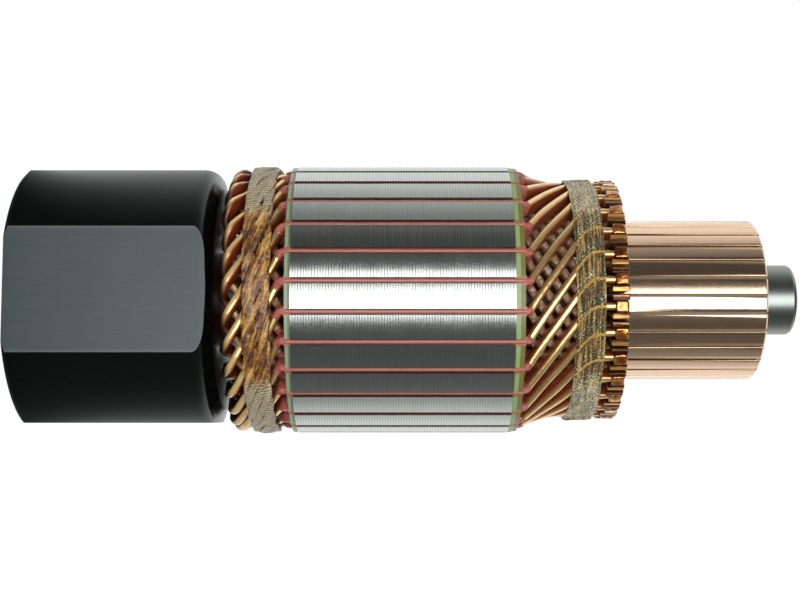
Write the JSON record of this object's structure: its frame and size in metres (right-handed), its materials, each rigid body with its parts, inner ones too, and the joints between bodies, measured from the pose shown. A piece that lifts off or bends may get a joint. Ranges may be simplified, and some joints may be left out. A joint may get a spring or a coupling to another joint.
{
  "type": "motor armature",
  "caption": "Wound armature of a DC motor: laminated slotted core, hairpin bar winding, riser commutator, steel shaft and a drive hub with flats.",
  "frame": {"origin": "on the shaft's axis, in the outer face of the drive hub, on which the armature stands", "axes": "+Z along the shaft from the drive hub to the commutator, -Y out through one wide flat of the hub"},
  "size_m": [0.08, 0.08, 0.2275],
  "materials": {
    "ground_steel": "fine ground",
    "hub_black": "black, semi-gloss",
    "core_steel": "turned sheet edges",
    "end_sheet": "fibre board",
    "backing_sheet": "varnished fibre board",
    "liner": "varnished film",
    "separator": "varnished board",
    "conductor": "varnished copper",
    "glass_cord": "varnished glass cord",
    "glass_tape": "varnished glass tape",
    "commutator_copper": "turned copper",
    "mica": "undercut",
    "riser_solder": "varnished solder",
    "moulding": "moulded resin",
    "bush_steel": "turned"
  },
  "bodies": {
    "root": {"shaft": "ground_steel", "drive_hub": "hub_black", "lamination_stack": "core_steel", "end_plate_rear": "end_sheet", "end_plate_front": "end_sheet", "end_spacer_front": "backing_sheet", "slot_liners": "liner", "slot_separators": "separator", "coil_01": "conductor", "coil_02": "conductor", "coil_03": "conductor", "coil_04": "conductor", "coil_05": "conductor", "coil_06": "conductor", "coil_07": "conductor", "coil_08": "conductor", "coil_09": "conductor", "coil_10": "conductor", "coil_11": "conductor", "coil_12": "conductor", "coil_13": "conductor", "coil_14": "conductor", "coil_15": "conductor", "coil_16": "conductor", "coil_17": "conductor", "coil_18": "conductor", "coil_19": "conductor", "coil_20": "conductor", "coil_21": "conductor", "coil_22": "conductor", "coil_23": "conductor", "coil_24": "conductor", "coil_25": "conductor", "coil_26": "conductor", "coil_27": "conductor", "coil_28": "conductor", "coil_29": "conductor", "binding_rear": "glass_cord", "binding_front": "glass_tape", "commutator_bars": "commutator_copper", "commutator_mica": "mica", "riser_joints": "riser_solder", "commutator_body": "moulding", "commutator_bush": "bush_steel", "commutator_ring_inner": "bush_steel", "commutator_ring_outer": "bush_steel"}
  },
  "joints": []
}
